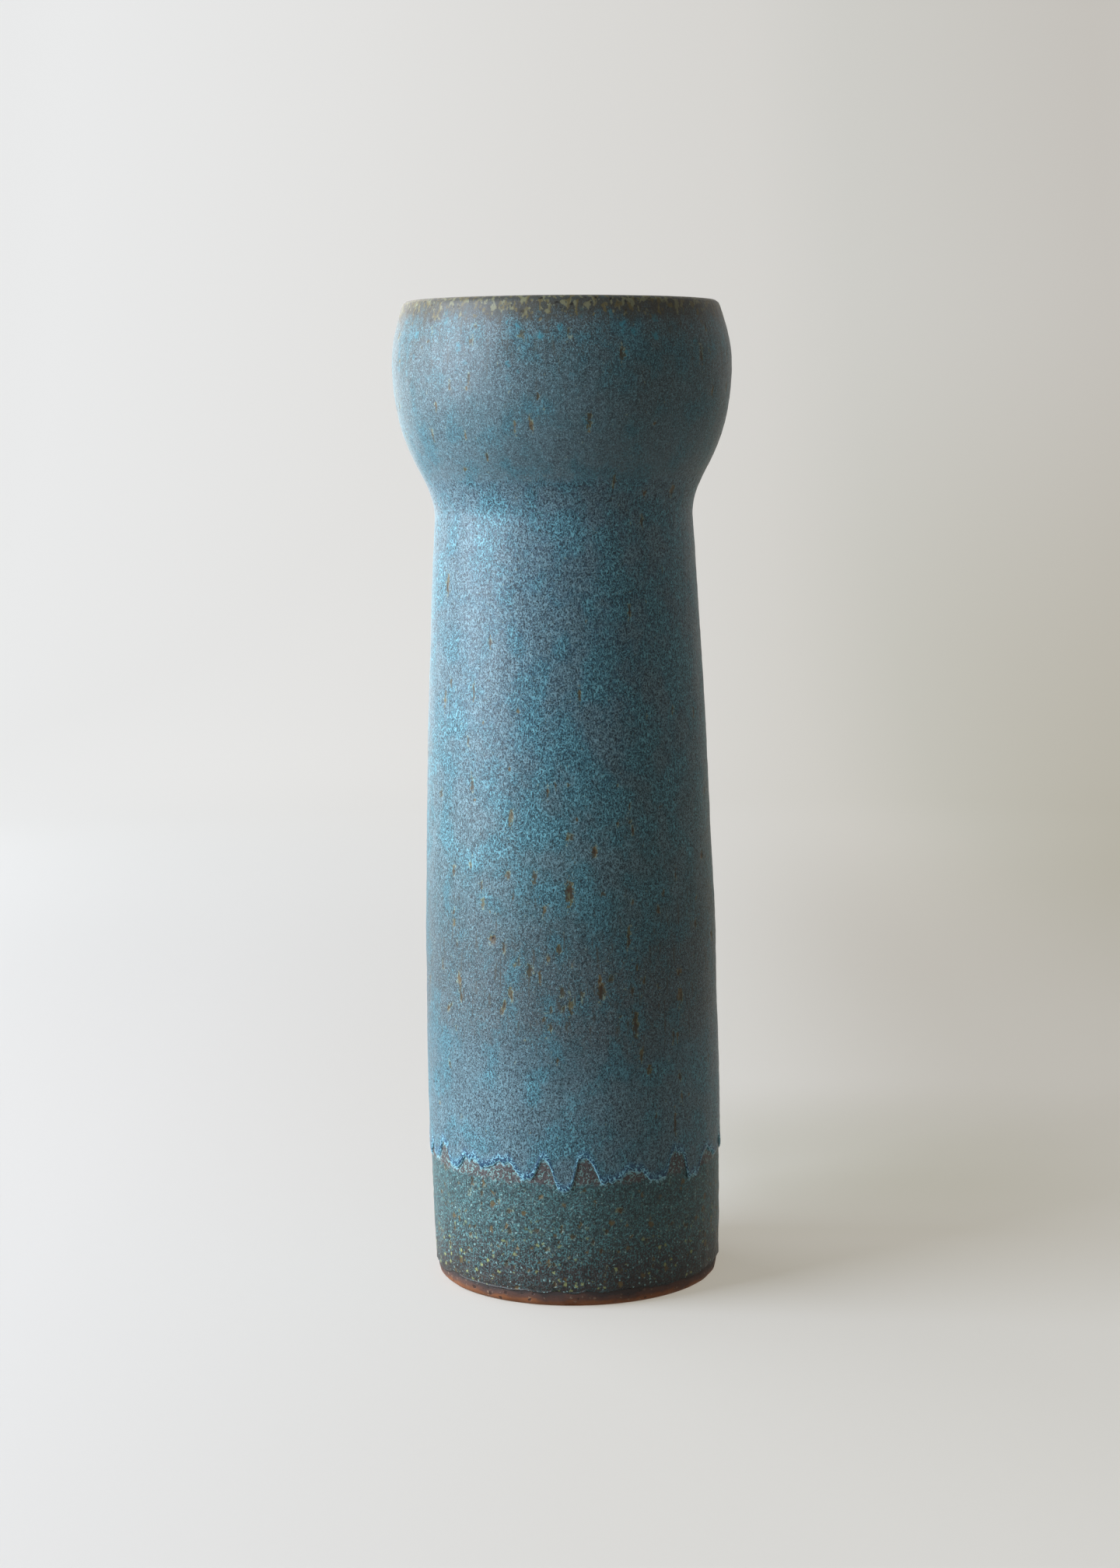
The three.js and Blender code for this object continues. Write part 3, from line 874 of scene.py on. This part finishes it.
def makeTopGlaze(material):
    front, back = coatFaces("top_glaze")
    baseFront = coatFaces("base_glaze")[0]
    baseFront = baseFront[:baseFront[:, 1].argmax()]
    turnover = dripStyle["straightAbove"]
    upper = spaced(front[front[:, 1] > turnover], lambda height: topSpec["seen"])
    lower = spaced(back[back[:, 1] > turnover], lambda height: 12.0 if height < 240 else 3.0)
    # rings between the drip edge and the first straight ring
    rises = np.linspace(0, 1, dripStyle["rings"], endpoint=False)**dripStyle["crowding"]
    low = dripEdge + rises[:, None] * (turnover - dripEdge)
    baseRadius = np.interp(low, baseFront[:, 1], baseFront[:, 0])
    fullCoat = upper[0, 0] - np.interp(upper[0, 1], baseFront[:, 1], baseFront[:, 0])
    above = low - dripEdge
    roll = np.sqrt(1 - (1 - np.clip(above / dripStyle["rollWidth"], 0, 1))**2)
    bead = dripStyle["bead"] * np.exp(-((above - dripStyle["beadAbove"]) / dripStyle["beadWidth"])**2)
    lowOuter = baseRadius + 0.03 + (fullCoat - 0.03 + bead) * roll
    upperRadius, upperHeight = ringsOf(upper)
    innerRadius, innerHeight = ringsOf(lower[::-1])
    backLow = dripEdge + np.array([[0.5], [0.12]]) * (turnover - dripEdge)
    backLowRadius = np.interp(backLow, baseFront[:, 1], baseFront[:, 0]) + clearance
    radius = np.vstack([lowOuter, upperRadius, innerRadius, backLowRadius])
    height = np.vstack([low, upperHeight, innerHeight, backLow])
    outerRows = (np.arange(len(radius)) < len(low) + len(upper))[:, None]
    marks = scattered(topSpec["moreMarks"], 51, 56, 332, (0.45, 0.95), (0.7, 3.2), topCrowd)
    pits = topSpec["pits"] + scattered(topSpec["morePits"], 57, 60, 338, (0.4, 0.7), (0.4, 0.7))
    rust = markField(height, topSpec["marks"] + marks) * outerRows
    rust = rust * np.where(height > 278, 0.87, 1.0)      # smaller marks on the head
    pit = markField(height, pits) * outerRows
    top = cadBox[1][2] / mm + 0.4
    fade = np.clip((height - dripEdge) / 3, 0, 1) * np.clip((top - height) / 3, 0.15, 1)
    turning = 0.012 * np.sin(fullTurn * (height / 7.5 + angles / fullTurn))
    wobble = (0.06 * waves(height, 46, 61) + 0.03 * waves(height, 14, 63)
              + 0.025 * waves(height, 4, 65) + turning)
    inBox = topSpec["inBox"] * np.clip((height - 290) / 20, 0, 1)
    lift = np.clip(wobble - inBox - 0.12 * rust - 0.35 * pit, -0.5, 0.3 - inBox) * fade * outerRows
    # the lip turns over a fairly sharp corner
    corner = topSpec["corner"] * np.exp(-((height - topSpec["cornerHeight"]) / 1.2)**2)
    lift = lift + corner * outerRows * (radius > 52)
    radius, height = lifted(radius, height, lift)
    piece = bodyFrom("top_glaze_coat", radius, rimDip(height), "loop")
    paintField(piece, "rust", rust)
    paintField(piece, "pit", pit)
    paintField(piece, "edge", np.clip(height - dripEdge, 0, 60))
    clouds = markField(height, topSpec["blueClouds"]) - markField(height, topSpec["greyClouds"])
    paintField(piece, "cloud", clouds * outerRows)
    return place(piece, "blue_top_glaze", material, "top_glaze")


# Liner

linerSpec = {
    "near": 1.25,             # spacing of the rings in the head
    "seen": 2.6,              # and deeper down
    "hidden": 6.0,
    "wobble": 0.12,
    "throwing": 0.08,         # depth of the throwing rings, then how far apart they are
    "throwingGap": 6.4,
    "tones": ((0.03, 0.052, 0.06), (0.05, 0.085, 0.092)),
    "runs": (0.055, 0.05, 0.034),
    "teal": (0.1, 0.21, 0.22),
}


def linerMaterial():
    material = newMaterial("slateLiner")
    height = heightOf()
    cloud = noise(coordinates(1.0, 15.0), 22.0, 3.0, 0.6)
    tone = blendColour(between(cloud, 0.35, 0.65), *linerSpec["tones"])
    runs = noise(coordinates(0.2, 25.0), 3.0, 2.0)
    tone = blendColour(between(runs, 0.52, 0.7, 0.0, 0.5), tone, linerSpec["runs"])
    teal = flecks(1.0, 0.5, 35.0, 0.8, 0.25)
    tone = laid(tone, linerSpec["teal"], teal, 0.5)
    tone = rimTone(tone, height, 0.8)
    peel = noise(coordinates(1.0, 45.0), 2.4, 2.0)
    roughness = between(cloud, 0.3, 0.7, 0.24, 0.36)
    relief = total(share(peel, 0.8), share(teal, 0.25))
    finishSurface(tone, roughness, relief, 0.15)
    return material


def makeLiner(material):
    openFace, clayFace = coatFaces("liner_glaze", inside=True)
    shown = spaced(openFace, lambda height: linerSpec["near"] if height > 250 else linerSpec["seen"])
    hidden = spaced(clayFace, lambda height: linerSpec["hidden"])
    line = np.vstack([hidden[1:], shown[::-1][:-1]])
    radius, height = ringsOf(line)
    openRows = (np.arange(len(line)) >= len(hidden) - 1)[:, None]
    wobble = (linerSpec["wobble"] * waves(height, 16, 71)
              + linerSpec["throwing"] * np.sin(fullTurn * height / linerSpec["throwingGap"]))
    soft = np.clip(radius / 20, 0, 1) * np.clip((height.max() - height) / 4, 0, 1)
    radius, height = lifted(radius, height, (wobble - 0.15) * soft * openRows)
    piece = bodyFrom("liner_glaze_coat", radius, rimDip(height), "axis")
    return place(piece, "liner_glaze", material, "liner_glaze")


clay = clayMaterial()
makeClay("clay_column_body", "clay_column", clay)
makeClay("clay_head_body", "clay_head", clay)
makeBaseGlaze(baseMaterial())
makeTopGlaze(topMaterial())
makeLiner(linerMaterial())


# Stage: a pale cove all round with painted light and shadow on it, a tall window light on the left

stageSpec = {
    "floorRadius": 1250.0,
    "curveRadius": 900.0,
    "wallHeight": 2600.0,
    "paper": (0.31, 0.31, 0.31),
    # painted light: the glow of the cove, standing in for the light bounced about it, dimmer and warmer to
    # the right where painted shade falls: (place across, colour) from left to right, in metres
    "paintedFloorLight": [(-0.2, (0.395, 0.375, 0.345)), (0.0, (0.355, 0.33, 0.28)), (0.15, (0.345, 0.32, 0.265))],
    "paintedWallLight": [(-0.5, (0.645, 0.645, 0.635)), (-0.2, (0.58, 0.57, 0.545)),
                 (0.2, (0.475, 0.455, 0.415)), (0.3, (0.42, 0.405, 0.36)), (0.55, (0.35, 0.32, 0.27))],
    "floorToWall": (0.15, 1.2),     # how far out the floor's glow gives way to the wall's
    # painted shadow of the vase and painted shade on the paper: (colour taken away, then from and to along an
    # axis)
    "paintedShadows": [
        ((0.12, 0.13, 0.14), ("X", 0.03, 0.2), ("Y", 0.03, 0.25), ("Y", 1.3, 0.45)),
        ((0.105, 0.105, 0.125), ("X", 0.02, 0.08), ("X", 0.27, 0.1), ("Y", 0.02, 0.12), ("Y", 0.3, 0.15)),
        ((0.085, 0.09, 0.115), ("X", 0.0, 0.42), ("Y", 0.3, 0.95), ("Z", 0.45, -0.05)),
        ((0.095, 0.09, 0.085), ("X", 0.3, -0.35), ("Y", 0.1, 0.8), ("Y", 1.45, 0.9)),
    ],
    # close to the window the paper takes almost no light and glows with painted light instead, so that no
    # edge shows behind the panel
    "nearWindow": (-0.58, -0.95),
    "paperByWindow": (0.012, 0.012, 0.012),
    "paintedLightByWindow": (0.15, 0.146, 0.139),
    "worldColour": (1.0, 0.975, 0.93),
    "worldStrength": 0.232,
}

windowSpec = {
    "azimuth": -75.0,         # from the front, negative is to the left
    "distance": 1250.0,
    "lowest": 90.0,
    "width": 1050.0,
    "height": 1600.0,
    "power": 58.0,
    "colour": (0.82, 0.89, 1.0),
}

# the lit paper behind on the left
sweepSpec = {
    "azimuth": -125.0,
    "distance": 1200.0,
    "lowest": 30.0,
    "width": 1100.0,
    "height": 1300.0,
    "power": 13.0,
    "colour": (0.92, 0.95, 1.0),
}

# two sheets that only show as a sheen on the glaze: the window pane, and pale paper behind on the left
paneSpec = {**windowSpec, "power": 30.0}
sheenSpec = {**sweepSpec, "azimuth": -135.0, "width": 2200.0, "height": 1900.0, "power": 19.0,
             "colour": (1.0, 0.97, 0.93)}

cameraSpec = {
    "x": -4.1, "y": -1010.3, "z": 301.2,
    "pitch": 7.235,           # looks down by this much
    "roll": 0.75,             # the picture leans to the left
    "lens": 67.06,
}


def makeCove():
    curve = [(stageSpec["floorRadius"] + stageSpec["curveRadius"] * math.sin(t),
              stageSpec["curveRadius"] * (1 - math.cos(t))) for t in np.linspace(0, math.pi / 2, 24)]
    profile = [(r, 0.0) for r in (1.0, 200.0, 600.0)] + curve
    profile.append((profile[-1][0], stageSpec["wallHeight"]))
    sides = 96
    spots = [(r * math.cos(t) * mm, r * math.sin(t) * mm, z * mm)
             for r, z in profile for t in (fullTurn * i / sides for i in range(sides))]
    faces = [(k * sides + i, k * sides + (i + 1) % sides, (k + 1) * sides + (i + 1) % sides,
              (k + 1) * sides + i) for k in range(len(profile) - 1) for i in range(sides)]
    faces.append(list(range(sides)))
    mesh = bpy.data.meshes.new("cove")
    mesh.from_pydata(spots, [], faces)
    mesh.polygons.foreach_set("use_smooth", [True] * len(mesh.polygons))
    cove = bpy.data.objects.new("cove", mesh)
    bpy.context.scene.collection.objects.link(cove)
    material = newMaterial("palePaper")
    shader = next(n for n in tree.nodes if n.type == "BSDF_PRINCIPLED")
    shader.inputs["Roughness"].default_value = 0.9
    shader.inputs["Specular IOR Level"].default_value = 0.0
    split = addNode("ShaderNodeSeparateXYZ")
    tree.links.new(addNode("ShaderNodeTexCoord").outputs["Object"], split.inputs[0])
    across, back = split.outputs["X"], split.outputs["Y"]
    away = calc("SQRT", total(calc("MULTIPLY", across, across), calc("MULTIPLY", back, back)))
    # the paper glows with painted light and painted shadow; it neither lights the vase nor blocks its light
    paintedGlow = blendColour(between(away, *stageSpec["floorToWall"]),
                       colourRamp(across, stageSpec["paintedFloorLight"]),
                       colourRamp(across, stageSpec["paintedWallLight"]))
    # painted shadow and painted shade, taken out of the painted light
    for colour, *limits in stageSpec["paintedShadows"]:
        amount = 1.0
        for axis, start, end in limits:
            amount = share(between(split.outputs[axis], start, end), amount)
        paintedGlow = blendColour(amount, paintedGlow, colour, "SUBTRACT")
    beside = between(across, *stageSpec["nearWindow"])
    paper = blendColour(beside, stageSpec["paper"], stageSpec["paperByWindow"])
    tree.links.new(paper, shader.inputs["Base Color"])
    # painted light where the paper by the window takes none
    paintedGlow = blendColour(beside, paintedGlow, stageSpec["paintedLightByWindow"], "ADD")
    tree.links.new(paintedGlow, shader.inputs["Emission Color"])
    shader.inputs["Emission Strength"].default_value = 1.0
    mesh.materials.append(material)
    cove.visible_diffuse = False
    cove.visible_shadow = False


def makeLights():
    world = bpy.data.worlds.new("room")
    world.use_nodes = True
    background = world.node_tree.nodes["Background"]
    background.inputs["Color"].default_value = (*stageSpec["worldColour"], 1)
    background.inputs["Strength"].default_value = stageSpec["worldStrength"]
    bpy.context.scene.world = world
    makePanel("window", windowSpec)
    makePanel("sweep", sweepSpec).visible_glossy = False
    makePanel("pane", paneSpec).visible_diffuse = False
    makePanel("sheen", sheenSpec).visible_diffuse = False


# an upright panel of light that faces the axis of the vase
def makePanel(name, spec):
    lamp = bpy.data.lights.new(name, "AREA")
    lamp.shape = "RECTANGLE"
    lamp.size = spec["width"] * mm
    lamp.size_y = spec["height"] * mm
    lamp.energy = spec["power"]
    lamp.color = spec["colour"]
    panel = bpy.data.objects.new(name, lamp)
    turn = math.radians(spec["azimuth"])
    middle = (spec["lowest"] + spec["height"] / 2) * mm
    reach = spec["distance"] * mm
    panel.location = (reach * math.sin(turn), -reach * math.cos(turn), middle)
    aim = Vector((0, 0, middle)) - panel.location
    panel.rotation_euler = aim.to_track_quat("-Z", "Y").to_euler()
    panel.visible_camera = False
    bpy.context.scene.collection.objects.link(panel)
    return panel


def makeCamera():
    data = bpy.data.cameras.new("camera")
    data.lens = cameraSpec["lens"]
    data.sensor_width = 36.0
    data.clip_end = 50
    camera = bpy.data.objects.new("camera", data)
    camera.location = (cameraSpec["x"] * mm, cameraSpec["y"] * mm, cameraSpec["z"] * mm)
    tilt = math.radians(90 - cameraSpec["pitch"])
    camera.rotation_euler = (tilt, 0, 0)
    camera.rotation_euler.rotate_axis("Z", math.radians(-cameraSpec["roll"]))
    bpy.context.scene.collection.objects.link(camera)
    bpy.context.scene.camera = camera


makeCove()
makeLights()
makeCamera()
bpy.context.scene.view_settings.view_transform = "Standard"
print("stage, light and camera ready")
